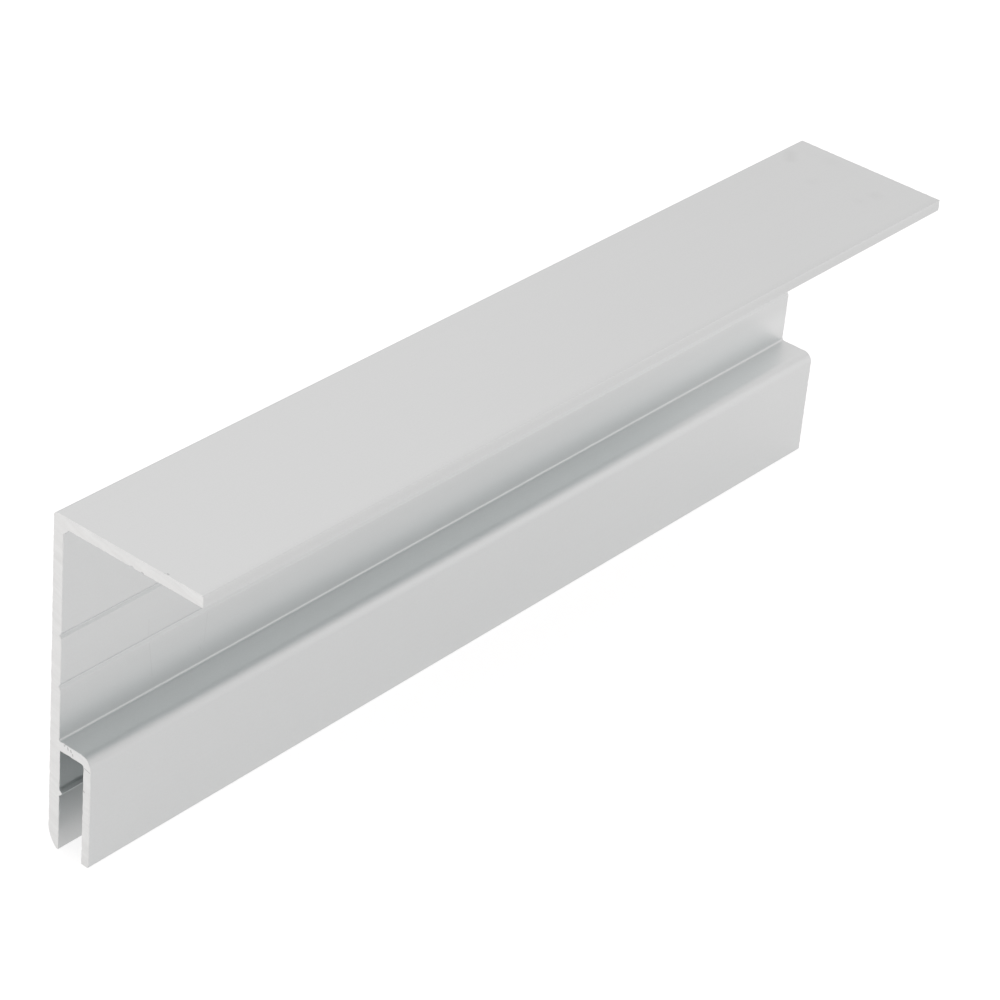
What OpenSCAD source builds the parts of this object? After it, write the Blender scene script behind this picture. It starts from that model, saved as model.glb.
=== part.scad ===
// Extruded aluminium profile for a stretch ceiling: a wall with a top flange, and low on
// its face a ledge and a lip that form a slot, open downwards, for the edge of the sheet.
// The section is drawn with the back of the wall on the Y axis and the toe on the X axis,
// then extruded along the length. The part stands on its toe and its lip.

/* [Overall] */
// Length of the piece, from saw cut to saw cut
profile_length = 180; // [40:1:2500]
// Height of the wall, from its toe to the top of the flange
wall_height = 60; // [45:0.5:90]
// Width of the flange, from the back of the wall to its free edge
flange_width = 30; // [20:0.5:60]

/* [Walls] */
// Thickness of the wall above the ledge
wall_thickness = 2; // [1.4:0.1:3]
// Thickness of the wall behind the slot
slot_wall_thickness = 2.2; // [1.6:0.1:3.2]
// Thickness of the flange
flange_thickness = 2; // [1.4:0.1:3]
// Thickness of the ledge that closes the slot
ledge_thickness = 1.7; // [1.2:0.1:3]
// Thickness of the lip in front of the slot
lip_thickness = 1.55; // [1:0.05:3]

/* [Slot] */
// Clear width of the slot, from the wall to the lip
slot_width = 5; // [4:0.1:8]
// Clear depth of the slot, from its mouth to the underside of the ledge
slot_depth = 18.5; // [12:0.5:26]
// Height of the barb's root on the wall
barb_root = 1.25; // [0.8:0.05:2]
// Height of the barb's blunt tip
barb_tip = 0.3; // [0.1:0.05:0.6]
// How far the barb stands out from the wall
barb_reach = 0.55; // [0.3:0.05:1]

/* [Drilling grooves] */
// Width of the V grooves that guide a drill
groove_width = 1.1; // [0.6:0.1:2]
// Depth of the V grooves
groove_depth = 0.4; // [0.2:0.05:0.8]

/* [Corners] */
// Radius of the outer corner between the wall and the flange
back_corner_radius = 0.7; // [0.3:0.1:1.3]
// Chamfer that fills the inner corner between the wall and the flange
inner_chamfer = 1.15; // [0.4:0.05:3]
// Radius of the outer corner between the ledge and the lip
ledge_corner_radius = 1.7; // [0.4:0.1:2]
// Radius of the slot's inner corner under the ledge, beside the lip
slot_corner_radius = 0.35; // [0.1:0.05:1]
// Radius of the fillet between the wall and the ledge
ledge_fillet_radius = 0.25; // [0.1:0.05:1]
// Radius of the lip's outer bottom edge
lip_foot_radius = 0.2; // [0.1:0.05:0.8]
// Radius of the flange's two free edges
flange_edge_radius = 0.25; // [0.1:0.05:0.6]
// Radius of the curve that thins the wall to its toe, on its back
toe_radius = 5; // [2.5:0.5:10]
// Width of the flat that is left at the tip of the toe
toe_flat = 0.35; // [0.2:0.05:1]

/* [Hidden] */
$fn = 64;
// Height of the barb's middle, as a share of the slot's depth
barb_height_share = 0.58;
// Heights of the wall's grooves, as shares of the clear wall from the ledge to the flange
wall_groove_shares = [0.26, 0.5];
// Place of the flange's groove, as a share of the clear flange from the wall to its free edge
flange_groove_share = 0.5;
// How far each cut runs past the faces that it opens
overrun = 1;
// Height of the ledge's top
ledge_top = slot_depth + ledge_thickness;
// Height of the flange's underside
flange_under = wall_height - flange_thickness;
// Place of the lip's inner and outer faces
lip_inner = slot_wall_thickness + slot_width;
lip_outer = lip_inner + lip_thickness;
// Clear height of the wall, and clear width of the flange's underside
clear_wall = flange_under - ledge_top;
clear_flange = flange_width - wall_thickness;
// Where the toe's curve meets the toe's flat, and how high the curve starts
toe_cut_width = slot_wall_thickness - toe_flat;
toe_curve_start = sqrt(pow(toe_radius, 2) - pow(toe_radius - toe_cut_width, 2));

// Waste outside a rounded corner at the origin, with the metal towards +X and +Y
module corner_waste(radius) {
    difference() {
        translate([-overrun, -overrun]) square(radius + overrun);
        translate([radius, radius]) circle(radius);
    }
}

// Fillet in an inner corner at the origin, with the free space towards +X and +Y
module fillet(radius) {
    difference() {
        translate([-radius, -radius]) square(2 * radius);
        translate([radius, radius]) circle(radius);
    }
}

// V groove cut into a face on the Y axis, with the metal towards -X
module groove() {
    half = groove_width / 2;
    polygon([[-groove_depth, 0], [0, -half], [overrun, -half], [overrun, half], [0, half]]);
}

// Barb on a face on the Y axis, standing out towards +X from a root sunk in the metal
module barb() {
    root = barb_root / 2;
    tip = barb_tip / 2;
    polygon([
        [-barb_reach, -root], [0, -root], [barb_reach, -tip],
        [barb_reach, tip], [0, root], [-barb_reach, root]
    ]);
}

// Waste outside the curve on the back of the wall's toe
module toe_waste() {
    difference() {
        translate([-overrun, -overrun]) square([toe_cut_width + overrun, toe_curve_start + overrun]);
        translate([toe_radius, toe_curve_start]) circle(toe_radius);
    }
}

// Wall with its barb, flange and the chamfer between them
module wall_and_flange() {
    square([wall_thickness, wall_height]);
    square([slot_wall_thickness, ledge_top]);
    translate([slot_wall_thickness, barb_height_share * slot_depth]) barb();
    translate([0, flange_under]) square([flange_width, flange_thickness]);
    translate([wall_thickness, flange_under])
        polygon([
            [-wall_thickness / 2, flange_thickness / 2], [-wall_thickness / 2, -inner_chamfer],
            [0, -inner_chamfer], [inner_chamfer, 0], [inner_chamfer, flange_thickness / 2]
        ]);
}

// Ledge and lip that form the slot, with the fillets at their inner corners
module ledge_and_lip() {
    translate([0, slot_depth]) square([lip_outer, ledge_thickness]);
    translate([lip_inner, 0]) square([lip_thickness, ledge_top]);
    translate([wall_thickness, ledge_top]) fillet(ledge_fillet_radius);
    translate([lip_inner, slot_depth]) rotate(180) fillet(slot_corner_radius);
}

// Whole section, with its corners rounded and its grooves cut
module section() {
    difference() {
        union() {
            wall_and_flange();
            ledge_and_lip();
        }
        toe_waste();
        translate([0, wall_height]) rotate(-90) corner_waste(back_corner_radius);
        translate([flange_width, wall_height]) rotate(180) corner_waste(flange_edge_radius);
        translate([flange_width, flange_under]) rotate(90) corner_waste(flange_edge_radius);
        translate([lip_outer, ledge_top]) rotate(180) corner_waste(ledge_corner_radius);
        translate([lip_outer, 0]) rotate(90) corner_waste(lip_foot_radius);
        for (share = wall_groove_shares)
            translate([wall_thickness, ledge_top + share * clear_wall]) groove();
        translate([wall_thickness + flange_groove_share * clear_flange, flange_under])
            rotate(-90) groove();
    }
}

// The profile, standing with its length along Y and centred over the origin
module ceiling_profile() {
    color([0.83, 0.84, 0.84])
        rotate([90, 0, 0])
            linear_extrude(height = profile_length, center = true)
                translate([-flange_width / 2, 0]) section();
}

ceiling_profile();
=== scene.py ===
# %% [markdown]
# A stretch ceiling profile
# This lesson dresses one short length of extruded aluminium: a wall with a flange on top,
# and a narrow slot low down that holds the edge of a stretched ceiling sheet.
# The measured solid is loaded first and is never touched. Everything made here lies exactly
# where that solid lies, in metres, so that nothing has to be fitted afterwards.

# %% Load the measured solid
import math

import bpy
from mathutils import Matrix, Vector


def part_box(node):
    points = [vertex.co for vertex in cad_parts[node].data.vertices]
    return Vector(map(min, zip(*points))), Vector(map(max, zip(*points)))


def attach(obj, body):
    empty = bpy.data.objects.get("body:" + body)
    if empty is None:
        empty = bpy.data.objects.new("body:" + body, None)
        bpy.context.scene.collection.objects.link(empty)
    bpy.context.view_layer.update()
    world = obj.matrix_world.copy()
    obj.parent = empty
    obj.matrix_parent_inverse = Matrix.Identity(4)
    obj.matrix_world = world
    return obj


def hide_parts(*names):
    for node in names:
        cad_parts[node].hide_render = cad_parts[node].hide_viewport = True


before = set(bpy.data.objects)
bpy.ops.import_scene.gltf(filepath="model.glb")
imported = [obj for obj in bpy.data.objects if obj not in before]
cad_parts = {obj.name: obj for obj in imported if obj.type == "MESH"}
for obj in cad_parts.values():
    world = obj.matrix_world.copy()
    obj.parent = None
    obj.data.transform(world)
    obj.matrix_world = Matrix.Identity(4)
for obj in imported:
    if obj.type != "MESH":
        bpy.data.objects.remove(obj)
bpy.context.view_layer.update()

NODE = "ceiling_profile"
MM = 0.001
low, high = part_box(NODE)
width, length, height = (side / MM for side in high - low)
print("solid", NODE, "measures", round(width, 2), "x", round(length, 2), "x", round(height, 2), "mm")

# %% [markdown]
# The section
# A press pushes hot aluminium through a die, so every face of the bar is one outline drawn
# along a straight line. We write that outline down once, as a list of corners with a radius
# each, in millimetres from the back of the wall and from the floor.
# A modelled box with bevels could give the same look, but a corner list can be read like the
# die's own drawing, and each radius stays a true arc with as many points as we ask for.

# %% Sizes of the section
wall = 2.0
slot_wall = 2.2
flange = 2.0
ledge = 1.7
lip = 1.55
slot_width = 5.0
slot_depth = 18.5
ledge_top = slot_depth + ledge
flange_under = height - flange
lip_inner = slot_wall + slot_width
lip_outer = lip_inner + lip
print("slot is", slot_width, "mm wide and", slot_depth, "mm deep")
print("ledge tops out at", ledge_top, "mm and the lip's outer face lies at", lip_outer, "mm")

# %% [markdown]
# The slot and its lip
# The sheet's welded edge is pushed up into the slot and hooks over a small barb on the wall.
# The barb is round at its tip, and that round with a painted highlight on it gives the thin line of
# light that one sees there. The corners are listed with the metal on the left, so the outline runs up
# the slot's wall, across its roof, down inside the lip and up its outer face to the ledge.

# %% Corners of the slot, the lip and the ledge
barb_share = 0.58
barb_height = barb_share * slot_depth
barb_root = 1.25
barb_tip = 0.3
barb_reach = 0.55
barb_round = 0.3
barb_shoulder = 0.62
barb_fillet = 0.7
roof_radius = 0.35
foot_radius = 0.3
ledge_radius = 1.9
fillet_radius = 0.4


def slot_corners():
    """Corners (x, z, radius) from the wall's toe, round the slot, to the foot of the wall above it."""
    tip = slot_wall + barb_reach
    return [
        (slot_wall, 0, 0),
        (slot_wall, barb_height - barb_root / 2, 0),
        (tip, barb_height - barb_tip / 2, barb_round),
        (tip, barb_height + barb_tip / 2, barb_round),
        (slot_wall, barb_height + barb_shoulder, barb_fillet),
        (slot_wall, slot_depth, 0),
        (lip_inner, slot_depth, roof_radius),
        (lip_inner, 0, 0),
        (lip_outer, 0, foot_radius),
        (lip_outer, ledge_top, ledge_radius),
        (wall, ledge_top, fillet_radius),
    ]


print("slot has", len(slot_corners()), "corners, with a barb at", round(barb_height, 2), "mm")

# %% [markdown]
# The wall and the flange
# Two shallow V grooves run along the wall and one along the flange's underside. A fitter sets the
# drill in them, and it cannot wander. A small chamfer fills the corner under the flange.

# %% Corners of the wall and the flange
clear_wall = flange_under - ledge_top
groove_shares = (0.26, 0.5)
groove_heights = [ledge_top + share * clear_wall for share in groove_shares]
groove_place = (wall + width) / 2
groove_width = 1.0
groove_depth = 0.36
groove_round = 0.15
inner_chamfer = 1.15
edge_radius = 0.15
back_radius = 0.7


def groove_corners(middle, on_wall):
    """A V groove: two lips and its root, across the wall's inner face or the flange's underside."""
    half = groove_width / 2
    if on_wall:
        return [
            (wall, middle - half, 0),
            (wall - groove_depth, middle, groove_round),
            (wall, middle + half, 0),
        ]
    return [
        (middle - half, flange_under, 0),
        (middle, flange_under + groove_depth, groove_round),
        (middle + half, flange_under, 0),
    ]


def wall_corners():
    """Corners up the wall's inner face, out along the flange and back to the wall's outer corner."""
    corners = []
    for middle in groove_heights:
        corners += groove_corners(middle, on_wall=True)
    corners += [(wall, flange_under - inner_chamfer, 0), (wall + inner_chamfer, flange_under, 0)]
    corners += groove_corners(groove_place, on_wall=False)
    corners += [(width, flange_under, 0), (width, height, edge_radius), (0, height, back_radius)]
    return corners


print("grooves on the wall at", [round(z, 2) for z in groove_heights], "mm")
print("groove under the flange at", round(groove_place, 2), "mm")

# %% [markdown]
# The toe
# At its foot the back of the wall curves in to a thin toe, which the bar stands on.
# The curve is cut into short straight steps here. They need no rounding, so their radius is None.

# %% Curve of the toe
toe_radius = 5.0
toe_flat = 0.35
toe_steps = 16
toe_end = slot_wall - toe_flat
toe_start = math.sqrt(toe_radius ** 2 - (toe_radius - toe_end) ** 2)


def toe_corners():
    """The curve from the wall's back down to the flat that the toe stands on."""
    sweep = math.atan2(toe_start, toe_radius - toe_end)
    angles = [sweep * step / toe_steps for step in range(toe_steps + 1)]
    return [
        (toe_radius - toe_radius * math.cos(a), toe_start - toe_radius * math.sin(a), None)
        for a in angles
    ]


corners = slot_corners() + wall_corners() + toe_corners()
print("section has", len(corners), "corners, and its toe curves in from", round(toe_start, 2), "mm up")

# %% [markdown]
# From corners to arcs
# Each corner becomes an arc that touches both of its sides. Corners with no radius of their
# own still get a tiny one, because no die leaves a perfectly sharp edge, and that small round
# is what catches a line of light on the real bar.
# Where a side is too short for two arcs, each takes a little less than half of it.

# %% Round the corners
die_radius = 0.07
arc_step = math.radians(12)
largest_share = 0.45


def corner_arc(here, before, after, radius):
    """Points of the arc that touches both sides of a corner."""
    half = before.angle(after) / 2
    reach = radius / math.tan(half)
    reach = min(reach, before.length * largest_share, after.length * largest_share)
    radius = reach * math.tan(half)
    inward = (before.normalized() + after.normalized()).normalized()
    centre = here + inward * (radius / math.sin(half))
    start = here + before.normalized() * reach - centre
    turn = math.pi - 2 * half
    side = 1 if start.x * inward.y - start.y * inward.x < 0 else -1
    steps = max(2, math.ceil(turn / arc_step))
    return [centre + Matrix.Rotation(side * turn * step / steps, 2) @ start for step in range(steps + 1)]


def rounded(corners):
    """The outline's points, with an arc at each corner that has a radius."""
    points = []
    for index, (x, z, radius) in enumerate(corners):
        here = Vector((x, z))
        if radius is None:
            points.append(here)
            continue
        before = Vector(corners[index - 1][:2]) - here
        after = Vector(corners[(index + 1) % len(corners)][:2]) - here
        points += corner_arc(here, before, after, radius or die_radius)
    return points


arcs = rounded(corners)
print("rounded section has", len(arcs), "points")

# %% [markdown]
# Points between the corners
# Long sides get a point close to each end. Smooth shading blends normals between neighbours,
# so these points keep the blend beside the round and leave the flat face truly flat.
# Between them come evenly spaced points, close enough together for the small nicks of the saw.

# %% Space the outline out
guard = 0.12
long_side = 4 * guard
spacing = 0.4


def spaced_out(points):
    """The same outline, with guards at the ends of its long sides and even points between them."""
    full = []
    for index, here in enumerate(points):
        side = points[(index + 1) % len(points)] - here
        full.append(here)
        if side.length < long_side:
            continue
        step = side.normalized()
        inner = side.length - 2 * guard
        count = math.ceil(inner / spacing)
        full += [here + step * (guard + inner * part / count) for part in range(count + 1)]
    return full


outline = spaced_out(arcs)
area = sum(a.x * b.y - b.x * a.y for a, b in zip(outline, outline[1:] + outline[:1])) / 2
print("outline has", len(outline), "points and holds", round(area, 2), "square mm")

# %% [markdown]
# Node trees, in a few words
# Materials and Geometry Nodes are both made of nodes and links. Clicking them together is fine
# for one file, but a script can be read, repeated and changed. A few small helpers are enough:
# one adds a node with its settings and plain inputs, one joins an output to an input, and two
# do sums with numbers and with vectors.

# %% Helpers for node trees
def add(tree, kind, inputs=None, **settings):
    """A new node of that kind, with its settings and its unlinked inputs filled in."""
    made = tree.nodes.new(kind)
    for name, value in settings.items():
        setattr(made, name, value)
    for name, value in (inputs or {}).items():
        made.inputs[name].default_value = value
    return made


def join(tree, source, target, output=0, entry=0):
    """A link from one node's output to another's input."""
    tree.links.new(source.outputs[output], target.inputs[entry])


def fed(tree, node, values):
    """The same node, with its first inputs linked to outputs or set to plain values."""
    for entry, value in enumerate(values):
        if isinstance(value, bpy.types.NodeSocket):
            tree.links.new(value, node.inputs[entry])
        else:
            node.inputs[entry].default_value = value
    return node


def maths(tree, operation, *values):
    """The result of a math node."""
    return fed(tree, add(tree, "ShaderNodeMath", operation=operation), values).outputs[0]


def vectors(tree, operation, *values):
    """A vector math node. A product or a distance is in its output called Value."""
    return fed(tree, add(tree, "ShaderNodeVectorMath", operation=operation), values)


print("helpers ready")

# %% [markdown]
# One small mark
# A bar that has been handled is never quite clean: a scratch on the wall, a few smudges on the
# flange, a pore or two where the saw tore the metal. Each is a line with soft edges, short or as
# long as the bar. This node group darkens a shade close to such a line, or lightens it, and the same
# way paints some light and shade into the colour. A painted image could show the same marks, but
# it would need unwrapping, and each mark here stays a few numbers that can be changed.

# %% Node group for one mark
MARK_INPUTS = {
    "Shade": "Float", "Place": "Vector", "Start": "Vector", "Way": "Vector",
    "Half width": "Float", "Depth": "Float",
}


def mark_group():
    """The shade that goes in, darker by Depth close to a line. A Depth below zero makes it lighter, as
    painted light.
    """
    tree = bpy.data.node_groups.new("mark", "ShaderNodeTree")
    for name, kind in MARK_INPUTS.items():
        tree.interface.new_socket(name, in_out="INPUT", socket_type="NodeSocket" + kind)
    tree.interface.new_socket("Shade", in_out="OUTPUT", socket_type="NodeSocketFloat")
    given = add(tree, "NodeGroupInput").outputs
    way = given["Way"]
    from_start = vectors(tree, "SUBTRACT", given["Place"], given["Start"]).outputs[0]
    passed = vectors(tree, "DOT_PRODUCT", from_start, way).outputs["Value"]
    whole = vectors(tree, "DOT_PRODUCT", way, way).outputs["Value"]
    share = maths(tree, "DIVIDE", passed, whole)
    share.node.use_clamp = True
    nearest = vectors(tree, "SCALE", way)
    tree.links.new(share, nearest.inputs["Scale"])
    beside = vectors(tree, "DISTANCE", from_start, nearest.outputs[0]).outputs["Value"]
    inside = add(tree, "ShaderNodeMapRange", {"To Min": 1.0, "To Max": 0.0},
                 interpolation_type="SMOOTHSTEP")
    tree.links.new(beside, inside.inputs["Value"])
    tree.links.new(given["Half width"], inside.inputs["From Max"])
    taken = maths(tree, "MULTIPLY", inside.outputs[0], given["Depth"])
    left = maths(tree, "MULTIPLY", given["Shade"], maths(tree, "SUBTRACT", 1.0, taken))
    tree.links.new(left, add(tree, "NodeGroupOutput").inputs["Shade"])
    return tree


MARK = mark_group()
print("mark group has", len(MARK.nodes), "nodes")

# %% [markdown]
# Many marks
# The materials chain the group, one link for each mark, and scale their colour by the shade that
# comes out. The places are given as one would measure them on the bar: millimetres from the back
# of the wall, from the near end and from the floor.

# %% Chain the marks
def spot(x, y, z):
    """A place in metres, from millimetres off the wall's back, the near end and the floor."""
    return Vector((x - width / 2, y - length / 2, z)) * MM


def whole_length(x, z):
    """Start and end of a mark that runs along the bar from cut to cut."""
    return (x, 0, z), (x, length, z)


def marked(tree, place, colour, marks, shade=1.0):
    """The colour times a shade, changed by each mark (start, end, half width in mm, depth)."""
    for start, end, half_width, depth in marks:
        node = fed(tree, add(tree, "ShaderNodeGroup", node_tree=MARK), [shade])
        node.inputs["Start"].default_value = spot(*start)
        node.inputs["Way"].default_value = spot(*end) - spot(*start)
        node.inputs["Half width"].default_value = half_width * MM
        node.inputs["Depth"].default_value = depth
        join(tree, place, node, "Object", "Place")
        shade = node.outputs["Shade"]
    shaded = vectors(tree, "SCALE", colour.outputs[0])
    tree.links.new(shade, shaded.inputs["Scale"])
    return shaded


print("near end's lower back corner lies at", [round(part, 4) for part in spot(0, 0, 0)], "m")

# %% [markdown]
# Noise for metal
# Metal is never one flat colour. Noise drives every finish here, a little at a time: stretched
# noise makes lines along the bar, even noise makes grain, and a weighed sum mixes them.
# All of it is placed by Object coordinates, so it sits on the bar itself in every view.

# %% Helpers for metal
NOISE_MIDDLE = 0.5


def new_metal(name):
    """A material with one metal shader in it, its tree and its Object coordinates."""
    material = bpy.data.materials.new(name)
    material.use_nodes = True
    tree = material.node_tree
    metal = tree.nodes["Principled BSDF"]
    metal.inputs["Metallic"].default_value = 1.0
    return material, tree, metal, add(tree, "ShaderNodeTexCoord")


def stretched_noise(tree, place, scale, detail, along=1.0):
    """Noise with so many features per metre across the bar, drawn out along its length."""
    mapping = add(tree, "ShaderNodeMapping", {"Scale": (1.0, along, 1.0)})
    noise = add(tree, "ShaderNodeTexNoise", {"Scale": scale, "Detail": detail, "Roughness": 0.6})
    join(tree, place, mapping, "Object", "Vector")
    join(tree, mapping, noise, 0, "Vector")
    return noise


def weighed_sum(tree, terms, base):
    """base plus each (noise, weight), with every noise counted from its middle value."""
    total = base - sum(weight * NOISE_MIDDLE for _, weight in terms)
    for noise, weight in terms:
        total = maths(tree, "MULTIPLY_ADD", noise.outputs[0], weight, total)
    return total


def ramp(tree, tone, dark, light):
    """A colour between two others, for a tone from 0 to 1."""
    colour = add(tree, "ShaderNodeValToRGB")
    colour.color_ramp.elements[0].color = dark
    colour.color_ramp.elements[1].color = light
    tree.links.new(tone, colour.inputs["Fac"])
    return colour


def add_bump(tree, metal, relief, strength, depth):
    """A bump of so many millimetres that follows the relief."""
    bump = add(tree, "ShaderNodeBump", {"Strength": strength, "Distance": depth * MM})
    tree.links.new(relief, bump.inputs["Height"])
    join(tree, bump, metal, 0, "Normal")


print("metal helpers ready")

# %% [markdown]
# Inside the slot
# Little of the slot's inside shows, so what it gets is a guess that fits the tones seen there:
# painted light above the barb, and more matt metal with a little painted light on the barb's upper side.
# A mask that is 1 in a band of the slot and 0 elsewhere says where roughness and painted light change.

# %% Bands in the slot
SLOT_MARGIN = 0.1
SLOT_ROUGHNESS_AND_PAINTED_LIGHT = [
    # Bottom and top of the band, and what it adds to the roughness and to the brightness, as painted
    # light
    (barb_height + barb_shoulder, slot_depth + SLOT_MARGIN, 0.0, 0.2),
    (barb_height, barb_height + barb_shoulder, 0.2, 0.06),
]


def slot_band(tree, place, bottom, top):
    """1 on the faces of the slot between two heights, and 0 on all the others."""
    split = add(tree, "ShaderNodeSeparateXYZ")
    join(tree, place, split, "Object")
    first = spot(slot_wall - SLOT_MARGIN, 0, bottom)
    last = spot(lip_inner + SLOT_MARGIN, 0, top)
    inside = 1.0
    for axis, least, most in (("X", first.x, last.x), ("Z", first.z, last.z)):
        above = maths(tree, "GREATER_THAN", split.outputs[axis], least)
        below = maths(tree, "LESS_THAN", split.outputs[axis], most)
        inside = maths(tree, "MULTIPLY", inside, maths(tree, "MULTIPLY", above, below))
    return inside


print("slot has", len(SLOT_ROUGHNESS_AND_PAINTED_LIGHT), "bands with a finish of their own")

# %% [markdown]
# The drawn finish
# Silver anodising is a clear, slightly cloudy skin on etched metal, so the bar is a satin mirror:
# it shows where the light comes from, but no sharp picture of it. The die leaves very faint
# lines that run the whole length and never cross it, and they scatter light across the bar more
# than along it. The anisotropic input does that, once it knows which way is across.
# Noise stretched a few hundred times along the length gives such lines on every face at once.

# %% Drawn aluminium
ANISOTROPY = 0.6
SKIN_DARK = (0.722, 0.750, 0.752, 1.0)
SKIN_LIGHT = (0.788, 0.820, 0.822, 1.0)
# How far the middle of the painted shade along the free edge lies above the flange's underside
PAINTED_EDGE_SHADE_RISE = 0.8
SKIN_MARKS_AND_PAINTED_SHADING = [
    # Scratches across the wall's inner face
    ((wall, 18.26, 33.6), (wall, 18.26, 30.9), 0.25, 0.03),
    ((wall, 18.54, 29.1), (wall, 19.34, 22.9), 0.15, 0.055),
    ((wall, 31.05, 29.1), (wall, 30.57, 23.9), 0.2, 0.035),
    ((wall, 29.44, 23.4), (wall, 29.93, 22.6), 0.25, 0.035),
    # Bands from cut to cut, guessed from the tones seen there; the first is a painted highlight on the
    # barb's tip
    (*whole_length(slot_wall + barb_reach, barb_height), 1.1, -0.22),
    # Painted light low on the wall, around a line in front of it, so that the change is soft
    (*whole_length(5.0, 23.8), 5.5, -0.15),
    # Painted shade on the ledge, beside the wall
    (*whole_length(3.8, ledge_top), 4.0, 0.06),
    # Painted shade along the flange's free edge
    (*whole_length(width, flange_under + PAINTED_EDGE_SHADE_RISE), 2.0, 0.06),
    # Smudges on the flange
    ((1.9, 174.3, height), (3.5, 172.3, height), 1.8, 0.045),
    ((8.9, 177.1, height), (8.9, 177.3, height), 2.4, 0.015),
    ((11.1, 168.4, height), (11.1, 168.6, height), 2.2, 0.015),
    ((21.6, 172.6, height), (21.6, 172.8, height), 2.2, 0.03),
    ((20.9, 168.8, height), (20.9, 169.0, height), 1.8, 0.015),
    # Pores beside the near cut
    ((22.6, 0.4, height), (22.8, 0.4, height), 0.24, 0.3),
    ((22.2, 0.2, height), (22.3, 0.2, height), 0.18, 0.15),
]


def across_the_bar(tree, place, metal):
    """Scatters light more across the bar than along it, on every face."""
    across = vectors(tree, "CROSS_PRODUCT", place.outputs["Normal"], (0.0, 1.0, 0.0))
    turned = add(tree, "ShaderNodeVectorTransform", convert_from="OBJECT", convert_to="WORLD")
    join(tree, across, turned)
    join(tree, turned, metal, 0, "Tangent")
    metal.inputs["Anisotropic"].default_value = ANISOTROPY


def drawn_aluminium():
    """Satin anodised metal with faint lines along the length."""
    material, tree, metal, place = new_metal("drawn_aluminium")
    broad = stretched_noise(tree, place, scale=420.0, detail=3.0, along=0.004)
    fine = stretched_noise(tree, place, scale=3200.0, detail=4.0, along=0.0015)
    cloud = stretched_noise(tree, place, scale=55.0, detail=4.0, along=0.6)
    grain = stretched_noise(tree, place, scale=3300.0, detail=2.0)
    roughness = weighed_sum(tree, [(broad, 0.05), (fine, 0.05), (cloud, 0.05)], base=0.38)
    shade = 1.0
    # The bands add roughness, and painted light as a shade factor above 1
    for bottom, top, rougher, brighter in SLOT_ROUGHNESS_AND_PAINTED_LIGHT:
        band = slot_band(tree, place, bottom, top)
        roughness = maths(tree, "MULTIPLY_ADD", band, rougher, roughness)
        shade = maths(tree, "MULTIPLY_ADD", band, brighter, shade)
    tree.links.new(roughness, metal.inputs["Roughness"])
    tone = weighed_sum(tree, [(broad, 0.2), (fine, 0.25), (cloud, 0.35), (grain, 0.6)], base=0.5)
    colour = ramp(tree, tone, SKIN_DARK, SKIN_LIGHT)
    join(tree, marked(tree, place, colour, SKIN_MARKS_AND_PAINTED_SHADING, shade), metal, 0, "Base Color")
    relief = weighed_sum(tree, [(broad, 0.5), (fine, 0.6), (grain, 0.5)], base=0.5)
    add_bump(tree, metal, relief, strength=0.25, depth=0.006)
    across_the_bar(tree, place, metal)
    return material


drawn = drawn_aluminium()
print("made", drawn.name, "with", len(SKIN_MARKS_AND_PAINTED_SHADING), "marks")

# %% [markdown]
# The saw's rings
# Both ends were cut by a large circular blade. Its teeth leave arcs so wide that they look like
# slanting lines. Rings around a point far outside the bar give such arcs: the blade's own middle.
# A little noise added to the distance keeps the rings from looking drawn with a compass.

# %% Rings of the blade
# The blade's middle in metres, and how far the rings stray in millimetres
BLADE_MIDDLE = Vector((0.034, 0.0, 0.172))
RING_STRAY = 1.2


def blade_rings(tree, place):
    """Noise that runs in wide rings around the blade's middle."""
    across = vectors(tree, "MULTIPLY", place.outputs["Object"], (1.0, 0.0, 1.0))
    distance = vectors(tree, "DISTANCE", across.outputs[0], BLADE_MIDDLE)
    stray = stretched_noise(tree, place, scale=260.0, detail=2.0)
    radius = maths(tree, "MULTIPLY_ADD", stray.outputs[0], RING_STRAY * MM, distance.outputs["Value"])
    rings = add(tree, "ShaderNodeTexNoise", {"Scale": 700.0, "Detail": 5.0, "Roughness": 0.65},
                noise_dimensions="1D")
    tree.links.new(radius, rings.inputs["W"])
    return rings


print("blade's middle lies", round((BLADE_MIDDLE.z - high.z) / MM, 1), "mm above the flange")

# %% [markdown]
# The saw cuts
# Fresh metal is paler and rougher than the drawn skin, and it has no anodised layer. The blade
# also tears a pore open here and there, so the cut faces get a list of marks of their own, and the shade
# in one chip is painted among them.

# %% Sawn aluminium
CUT_DARK = (0.778, 0.799, 0.796, 1.0)
CUT_LIGHT = (0.919, 0.944, 0.941, 1.0)
CUT_MARKS_AND_PAINTED_SHADE = [
    # Pores in the ledge
    ((3.1, 0, 19.9), (3.3, 0, 20.05), 0.18, 0.35),
    ((3.85, 0, 19.95), (3.95, 0, 19.6), 0.2, 0.4),
    ((4.5, 0, 19.8), (4.6, 0, 19.5), 0.2, 0.4),
    ((4.9, 0, 19.25), (4.95, 0, 19.05), 0.2, 0.35),
    # A torn line and a pore in the lip
    ((7.4, 0, 18.08), (8.6, 0, 17.78), 0.14, 0.3),
    ((7.4, 0, 13.85), (7.5, 0, 13.7), 0.2, 0.4),
    # A chip under the flange, as a spot of painted shade
    ((17.95, 0, 58.05), (18.2, 0, 58.0), 0.24, 0.6),
]


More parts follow.
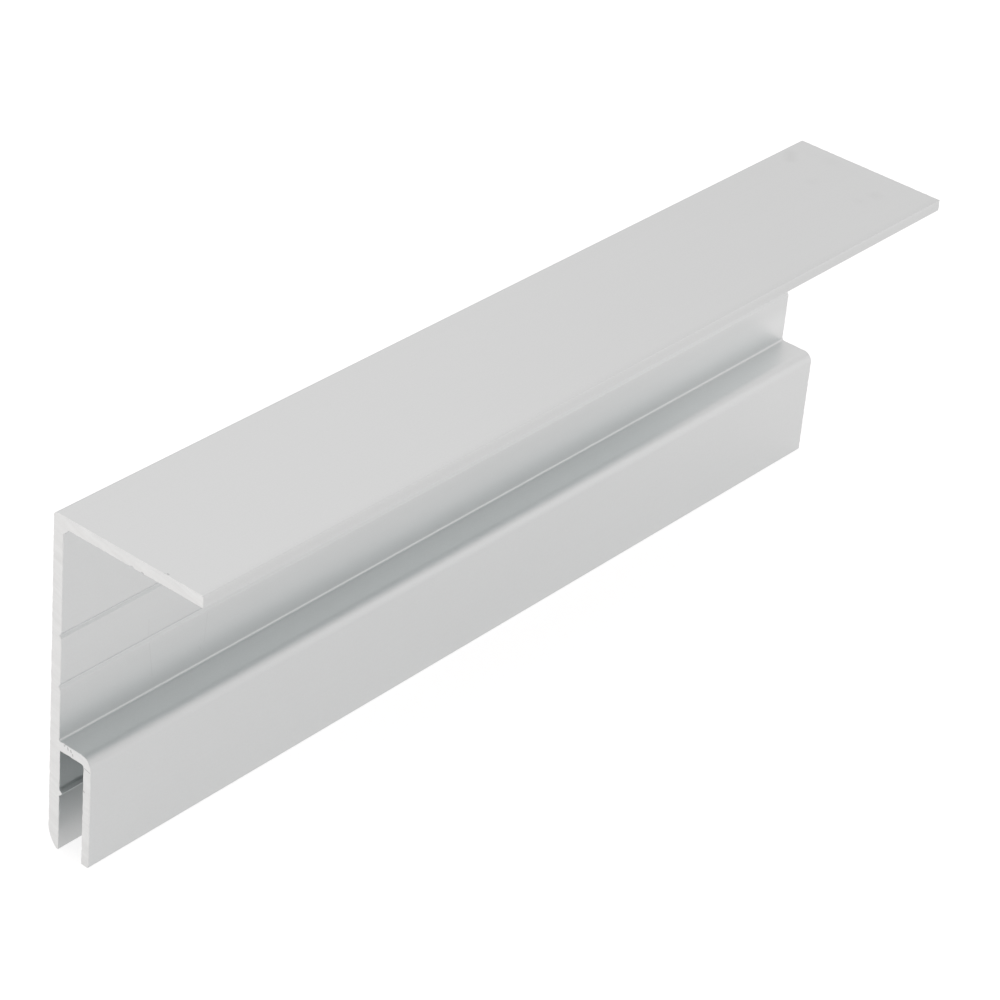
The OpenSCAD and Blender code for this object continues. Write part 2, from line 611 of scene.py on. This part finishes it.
def sawn_aluminium():
    """Pale cut metal with the wide arcs of a saw blade."""
    material, tree, metal, place = new_metal("sawn_aluminium")
    rings = blade_rings(tree, place)
    patches = stretched_noise(tree, place, scale=420.0, detail=3.0)
    grain = stretched_noise(tree, place, scale=4000.0, detail=3.0)
    roughness = weighed_sum(tree, [(rings, 0.08), (grain, 0.06)], base=0.55)
    tree.links.new(roughness, metal.inputs["Roughness"])
    tone = weighed_sum(tree, [(rings, 0.9), (patches, 0.5), (grain, 0.3)], base=0.5)
    colour = ramp(tree, tone, CUT_DARK, CUT_LIGHT)
    join(tree, marked(tree, place, colour, CUT_MARKS_AND_PAINTED_SHADE), metal, 0, "Base Color")
    add_bump(tree, metal, tone, strength=0.3, depth=0.01)
    return material


sawn = sawn_aluminium()
print("made", sawn.name, "with", len(CUT_MARKS_AND_PAINTED_SHADE), "marks")

# %% [markdown]
# The outline as edges
# Geometry Nodes will sweep the outline along the bar, so it becomes a ring of mesh edges first.
# At both ends the saw breaks the edge, and the ring is drawn in a little there. For that, each
# point carries its own inward direction as an attribute. On a tight round the step is
# shortened, because neighbours that step in too far would cross.

# %% Outline as a mesh of edges
BEND_LIMIT = math.cos(math.radians(1))
CORNER_WEAR = 0.35


def outline_object(points):
    """A closed ring of edges in the XY plane, in metres, with each point's inward direction."""
    mesh = bpy.data.meshes.new("profile")
    count = len(points)
    places = [((p.x - width / 2) * MM, p.y * MM, 0.0) for p in points]
    mesh.from_pydata(places, [(i, (i + 1) % count) for i in range(count)], [])
    inward = mesh.attributes.new("inward", "FLOAT_VECTOR", "POINT")
    for index, here in enumerate(points):
        back = (here - points[index - 1]).normalized()
        ahead = (points[(index + 1) % count] - here).normalized()
        left = Vector((-back.y - ahead.y, back.x + ahead.x)).normalized()
        wear = CORNER_WEAR if back.dot(ahead) < BEND_LIMIT else 1.0
        inward.data[index].vector = (left.x * wear, 0.0, left.y * wear)
    piece = bpy.data.objects.new("profile", mesh)
    bpy.context.scene.collection.objects.link(piece)
    return piece


bar = outline_object(outline)
print("ring of", len(bar.data.edges), "edges")

# %% [markdown]
# The path
# The outline is swept along a straight path, which is what Curve to Mesh does. The path goes from
# the far end to the near end and is tilted by half a turn, so that the outline's X and Y become
# the bar's X and Z. Its second station and its last but one move close to the ends: they are the
# shoulders, where the edge that the saw breaks begins.

# %% Nodes for the path
def place_along(tree):
    """Where a point lies along the bar, as its Y."""
    split = add(tree, "ShaderNodeSeparateXYZ")
    join(tree, add(tree, "GeometryNodeInputPosition"), split)
    return split.outputs["Y"]


def on_length(tree, y):
    """A vector with only a Y."""
    made = add(tree, "ShaderNodeCombineXYZ")
    tree.links.new(y, made.inputs["Y"])
    return made


def second_stations(tree):
    """Picks the stations that are next to the path's ends."""
    ends = add(tree, "GeometryNodeCurveEndpointSelection", {"Start Size": 1, "End Size": 1})
    pairs = add(tree, "GeometryNodeCurveEndpointSelection", {"Start Size": 2, "End Size": 2})
    only = add(tree, "FunctionNodeBooleanMath", operation="NIMPLY")
    return fed(tree, only, [pairs.outputs[0], ends.outputs[0]])


def path_nodes(tree, sizes):
    """A straight path from far end to near end, and how far its shoulders lie from the middle."""
    half = maths(tree, "MULTIPLY", sizes["Length"], 0.5)
    shoulder = maths(tree, "SUBTRACT", half, sizes["Edge break"])
    line = add(tree, "GeometryNodeCurvePrimitiveLine")
    join(tree, on_length(tree, half), line, 0, "Start")
    join(tree, on_length(tree, maths(tree, "MULTIPLY", half, -1.0)), line, 0, "End")
    spaced = add(tree, "GeometryNodeResampleCurve")
    join(tree, line, spaced, 0, "Curve")
    tree.links.new(sizes["Stations"], spaced.inputs["Count"])
    beside_end = maths(tree, "MULTIPLY", maths(tree, "SIGN", place_along(tree)), shoulder)
    moved = add(tree, "GeometryNodeSetPosition")
    join(tree, spaced, moved, 0, "Geometry")
    join(tree, second_stations(tree), moved, 0, "Selection")
    join(tree, on_length(tree, beside_end), moved, 0, "Position")
    turned = add(tree, "GeometryNodeSetCurveTilt", {"Tilt": math.pi})
    join(tree, moved, turned, 0, "Curve")
    return turned, shoulder


print("path helpers ready")

# %% [markdown]
# The broken edge
# A saw leaves no knife edge: the end ring is drawn in by a few hundredths of a millimetre, and
# small nicks go deeper. Noise that only counts above a threshold gives nicks with calm edge
# between them. Where the ring is nicked, the shoulder moves back as well, so that the nick slopes.

# %% Nodes for the broken edge
CHIP_THRESHOLD = 0.45
CHIP_SLOPE = 1.5


def chip_nodes(tree, sizes):
    """How deep the saw nicked the edge: nothing for the most part, and a little here and there."""
    noise = add(tree, "ShaderNodeTexNoise", {"Detail": 4.0, "Roughness": 0.7}, noise_dimensions="4D")
    join(tree, add(tree, "GeometryNodeInputPosition"), noise, 0, "Vector")
    tree.links.new(sizes["Seed"], noise.inputs["W"])
    tree.links.new(sizes["Chip grain"], noise.inputs["Scale"])
    above = maths(tree, "MAXIMUM", maths(tree, "SUBTRACT", noise.outputs[0], CHIP_THRESHOLD), 0.0)
    return maths(tree, "MULTIPLY", above, sizes["Chips"])


def edge_break_nodes(tree, sizes, swept, shoulder):
    """Draws the end rings in and the shoulders back by an uneven amount."""
    along = place_along(tree)
    reach = maths(tree, "ABSOLUTE", along)
    chips = chip_nodes(tree, sizes)
    half_break = maths(tree, "MULTIPLY", sizes["Edge break"], 0.5)
    at_end = maths(tree, "GREATER_THAN", reach, maths(tree, "ADD", shoulder, half_break))
    past_shoulder = maths(tree, "GREATER_THAN", reach, maths(tree, "SUBTRACT", shoulder, half_break))
    at_shoulder = maths(tree, "SUBTRACT", past_shoulder, at_end)
    inward = add(tree, "GeometryNodeInputNamedAttribute", {"Name": "inward"}, data_type="FLOAT_VECTOR")
    step_in = vectors(tree, "SCALE", inward.outputs[0])
    depth = maths(tree, "MULTIPLY", maths(tree, "ADD", sizes["Edge break"], chips), at_end)
    tree.links.new(depth, step_in.inputs["Scale"])
    away = maths(tree, "MULTIPLY", maths(tree, "SIGN", along), -CHIP_SLOPE)
    back = maths(tree, "MULTIPLY", maths(tree, "MULTIPLY", chips, away), at_shoulder)
    offset = vectors(tree, "ADD", step_in.outputs[0], on_length(tree, back).outputs[0])
    broken = add(tree, "GeometryNodeSetPosition")
    join(tree, swept, broken, 0, "Geometry")
    join(tree, offset, broken, 0, "Offset")
    return broken


print("edge helpers ready")

# %% [markdown]
# Smooth, sharp, drawn and sawn
# The rounds are shaded smooth, and edges steeper than the limit stay sharp. Close to the ends
# every edge is sharp, because the nicks would otherwise bend the light on the long faces.
# What faces along the bar was cut by the saw and gets its finish; all the rest was drawn.

# %% Nodes for shading and finish
SHARP_LIMIT = math.radians(32)
END_ZONE = 0.5
FLAT_END = 0.95
CUT_FACE = 0.5


def facing_along(tree):
    """How far a face looks along the bar, from 0 to 1."""
    split = add(tree, "ShaderNodeSeparateXYZ")
    join(tree, add(tree, "GeometryNodeInputNormal"), split)
    return maths(tree, "ABSOLUTE", split.outputs["Y"])


def shading_nodes(tree, shape, shoulder):
    """Smooth faces but for the flat ends, with steep edges and everything close to the ends sharp."""
    smooth = add(tree, "GeometryNodeSetShadeSmooth", domain="FACE")
    join(tree, shape, smooth, 0, "Geometry")
    not_end = maths(tree, "LESS_THAN", facing_along(tree), FLAT_END)
    tree.links.new(not_end, smooth.inputs["Shade Smooth"])
    angle = add(tree, "GeometryNodeInputMeshEdgeAngle")
    steep = maths(tree, "GREATER_THAN", angle.outputs["Unsigned Angle"], SHARP_LIMIT)
    reach = maths(tree, "ABSOLUTE", place_along(tree))
    close = maths(tree, "GREATER_THAN", reach, maths(tree, "SUBTRACT", shoulder, END_ZONE * MM))
    sharp = add(tree, "GeometryNodeSetShadeSmooth", {"Shade Smooth": False}, domain="EDGE")
    join(tree, smooth, sharp, 0, "Geometry")
    tree.links.new(maths(tree, "MAXIMUM", steep, close), sharp.inputs["Selection"])
    return sharp


def finish_nodes(tree, shape):
    """Drawn metal all over, and sawn metal on what faces along the bar."""
    whole = add(tree, "GeometryNodeRealizeInstances")
    join(tree, shape, whole)
    skin = add(tree, "GeometryNodeSetMaterial", {"Material": drawn})
    join(tree, whole, skin, 0, "Geometry")
    cut = add(tree, "GeometryNodeSetMaterial", {"Material": sawn})
    join(tree, skin, cut, 0, "Geometry")
    tree.links.new(maths(tree, "GREATER_THAN", facing_along(tree), CUT_FACE), cut.inputs["Selection"])
    return cut


print("shading helpers ready")

# %% [markdown]
# The whole tree
# The steps are joined in the order in which the bar is made: outline and path, sweep, saw, finish.
# Each size is a named input of the tree, so that it can be changed without touching the nodes.

# %% Tree that sweeps the outline
def sweep_tree():
    """Outline in, finished bar out."""
    tree = bpy.data.node_groups.new("profile_sweep", "GeometryNodeTree")
    face = tree.interface
    face.new_socket("Outline", in_out="INPUT", socket_type="NodeSocketGeometry")
    for name in ("Length", "Edge break", "Chips", "Chip grain", "Seed"):
        face.new_socket(name, in_out="INPUT", socket_type="NodeSocketFloat")
    face.new_socket("Stations", in_out="INPUT", socket_type="NodeSocketInt")
    face.new_socket("Bar", in_out="OUTPUT", socket_type="NodeSocketGeometry")
    given = add(tree, "NodeGroupInput")
    section = add(tree, "GeometryNodeMeshToCurve")
    join(tree, given, section, "Outline", "Mesh")
    path, shoulder = path_nodes(tree, given.outputs)
    swept = add(tree, "GeometryNodeCurveToMesh", {"Fill Caps": True})
    join(tree, path, swept, 0, "Curve")
    join(tree, section, swept, 0, "Profile Curve")
    broken = edge_break_nodes(tree, given.outputs, swept, shoulder)
    finished = finish_nodes(tree, shading_nodes(tree, broken, shoulder))
    join(tree, finished, add(tree, "NodeGroupOutput"), 0, "Bar")
    return tree


SWEEP = sweep_tree()
print("tree has", len(SWEEP.nodes), "nodes")

# %% [markdown]
# Sweep the bar
# The modifier's inputs are set by the identifiers of their sockets, before it is evaluated.
# Its result is kept as a plain mesh and the modifier goes, so that nothing depends on it later.

# %% Run the tree and keep its mesh
SWEEP_VALUES = {
    "Length": length * MM,
    "Edge break": 0.04 * MM,
    "Chips": 0.5 * MM,
    "Chip grain": 1500.0,
    "Seed": 3.0,
    "Stations": 13,
}


def run_tree(piece, tree, values):
    """Runs a tree on an object and keeps the result as the object's own mesh."""
    modifier = piece.modifiers.new("sweep", "NODES")
    modifier.node_group = tree
    for item in tree.interface.items_tree:
        if item.in_out == "INPUT" and item.name in values:
            modifier[item.identifier] = values[item.name]
    bpy.context.view_layer.update()
    evaluated = piece.evaluated_get(bpy.context.evaluated_depsgraph_get())
    made = bpy.data.meshes.new_from_object(evaluated)
    old = piece.data
    piece.modifiers.clear()
    piece.data = made
    bpy.data.meshes.remove(old)
    made.name = piece.name


run_tree(bar, SWEEP, SWEEP_VALUES)
bar.data.attributes.remove(bar.data.attributes["inward"])
axes = list(zip(*(vertex.co for vertex in bar.data.vertices)))
sides = [round((max(axis) - min(axis)) / MM, 3) for axis in axes]
print("bar has", len(bar.data.polygons), "faces and measures", sides, "mm")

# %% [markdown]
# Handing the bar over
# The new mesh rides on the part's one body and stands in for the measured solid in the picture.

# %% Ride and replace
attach(bar, "root")
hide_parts(NODE)
print("bar rides on root in place of", NODE)

# %% [markdown]
# The table
# The picture has a pure white ground. The table is grey paper, and light of its own lifts it to
# white for the camera, which still sees the bar's shadow near its foot. A satin metal only looks
# like metal when it has something to reflect, so reflections get a lift too, a weaker one.
# That light is slightly warm, like the lamps, and the bluish metal turns it back to neutral.

# %% Table material
WHITE = (1.0, 1.0, 1.0, 1.0)
WARM = (1.0, 0.962, 0.958, 1.0)
PAPER = (0.36, 0.36, 0.36, 1.0)
LIFT_SEEN = 0.8
LIFT_REFLECTED = 0.6


def table_material():
    """Diffuse paper, lifted to white for the camera and to a warm pale grey for reflections."""
    material = bpy.data.materials.new("white_table")
    material.use_nodes = True
    tree = material.node_tree
    tree.nodes.remove(tree.nodes["Principled BSDF"])
    shown = add(tree, "ShaderNodeBsdfDiffuse", {"Color": PAPER})
    ray = add(tree, "ShaderNodeLightPath").outputs
    lifts = [(ray["Is Camera Ray"], WHITE, LIFT_SEEN), (ray["Is Glossy Ray"], WARM, LIFT_REFLECTED)]
    for rays, colour, strength in lifts:
        lift = add(tree, "ShaderNodeEmission", {"Color": colour})
        tree.links.new(maths(tree, "MULTIPLY", rays, strength), lift.inputs["Strength"])
        shown = fed(tree, add(tree, "ShaderNodeAddShader"), [shown.outputs[0], lift.outputs[0]])
    join(tree, shown, tree.nodes["Material Output"], 0, "Surface")
    return material


table_paper = table_material()
print("made", table_paper.name)

# %% [markdown]
# The table's sheet
# One wide square is enough. It lies a twentieth of a millimetre under the bar, so that the two
# never share a plane and flicker.

# %% Lay the table
TABLE_REACH = 3.0
TABLE_DROP = 0.05


def white_table():
    """A wide sheet just under the bar."""
    signs = ((-1, -1), (1, -1), (1, 1), (-1, 1))
    corners = [(x * TABLE_REACH, y * TABLE_REACH, -TABLE_DROP * MM) for x, y in signs]
    mesh = bpy.data.meshes.new("white_table")
    mesh.from_pydata(corners, [], [(0, 1, 2, 3)])
    mesh.materials.append(table_paper)
    table = bpy.data.objects.new("white_table", mesh)
    bpy.context.scene.collection.objects.link(table)
    return table


white_table()
print("table reaches", TABLE_REACH, "m each way")

# %% [markdown]
# The light all round
# Small parts are often photographed in a white tent, so a white world does most of the work here.
# It is a little brighter from above and from the left, which gives each face a tone of its own.
# The camera itself sees plain white where the table ends.

# %% White world
SKY_LEVEL = 0.645
SKY_SLOPE = (-0.103, 0.0, 0.31)


def white_world():
    """White light from all round, with a slope, behind a plain white backdrop for the camera."""
    world = bpy.data.worlds.new("white_tent")
    world.use_nodes = True
    tree = world.node_tree
    sky = tree.nodes["Background"]
    sky.inputs["Color"].default_value = WARM
    way = add(tree, "ShaderNodeTexCoord")
    slope = vectors(tree, "DOT_PRODUCT", way.outputs["Generated"], SKY_SLOPE)
    tree.links.new(maths(tree, "ADD", slope.outputs["Value"], SKY_LEVEL), sky.inputs["Strength"])
    backdrop = add(tree, "ShaderNodeBackground", {"Color": WHITE, "Strength": 1.0})
    ray = add(tree, "ShaderNodeLightPath").outputs
    either = add(tree, "ShaderNodeMixShader")
    fed(tree, either, [ray["Is Camera Ray"], sky.outputs[0], backdrop.outputs[0]])
    join(tree, either, tree.nodes["World Output"], 0, "Surface")
    bpy.context.scene.world = world


white_world()
bpy.context.scene.view_settings.view_transform = "Standard"
print("world is white")

# %% [markdown]
# The lamps
# Three soft lamps add what the tent alone cannot: a wide one lights the near cut from the front,
# one gives the lip and its round a highlight from the right, and a weak one tops up the flange.
# Each is set by how bright it looks from the bar, which keeps its size and its power apart. A wide
# dim lamp gives as much light as a small bright one, and its reflection doesn't burn out.

# %% Soft lamps
LAMPS = {
    # Place, aim, width and height in metres, and how bright it looks
    "left_lamp": ((-0.26, 0.17, 0.31), (0.0, -0.09, 0.06), (0.24, 0.24), 0.062),
    "right_lamp": ((0.46, 0.50, 0.15), (0.0, 0.04, 0.03), (0.44, 0.44), 0.31),
    "front_lamp": ((-0.18, -0.60, 0.19), (0.0, -0.09, 0.03), (1.2, 0.36), 0.32),
}


def soft_lamp(name, place, aim, size, radiance):
    """A soft lamp that looks as bright as the radiance given, and that the camera doesn't see."""
    data = bpy.data.lights.new(name, "AREA")
    data.shape = "RECTANGLE"
    data.size, data.size_y = size
    data.energy = radiance * math.pi * data.size * data.size_y
    data.color = WARM[:3]
    lamp = bpy.data.objects.new(name, data)
    bpy.context.scene.collection.objects.link(lamp)
    turn = (Vector(aim) - Vector(place)).to_track_quat("-Z", "Y").to_matrix().to_4x4()
    lamp.matrix_world = Matrix.Translation(place) @ turn
    lamp.visible_camera = False


for lamp_name, values in LAMPS.items():
    soft_lamp(lamp_name, *values)
print("lamps", [lamp.name for lamp in bpy.data.lights])

# %% [markdown]
# The camera
# The photograph was taken from above and to the right of the near end. A camera with a long lens,
# turned a little about its own axis, comes close to that view. Its place was worked out from the
# bar's corners at both ends, and so that the wall's lower groove just shows under the flange.

# %% Camera
CAMERA_PLACE = Vector((0.30999, -0.40523, 0.34984))
CAMERA_AIM = Vector((-0.00270, -0.00209, 0.03001))
CAMERA_ROLL = math.radians(5.340)
LENS = 133.93
SENSOR = 36.0
CLIP_START = 0.01


def place_camera():
    """A still camera, with a lens and a turn that come close to the picture's view."""
    data = bpy.data.cameras.new("camera")
    data.sensor_width = SENSOR
    data.lens = LENS
    data.clip_start = CLIP_START
    camera = bpy.data.objects.new("camera", data)
    bpy.context.scene.collection.objects.link(camera)
    look = (CAMERA_AIM - CAMERA_PLACE).to_track_quat("-Z", "Y").to_matrix()
    turned = look @ Matrix.Rotation(CAMERA_ROLL, 3, "Z")
    camera.matrix_world = Matrix.Translation(CAMERA_PLACE) @ turned.to_4x4()
    bpy.context.scene.camera = camera


place_camera()
print("camera is", round((CAMERA_AIM - CAMERA_PLACE).length, 3), "m from its aim")
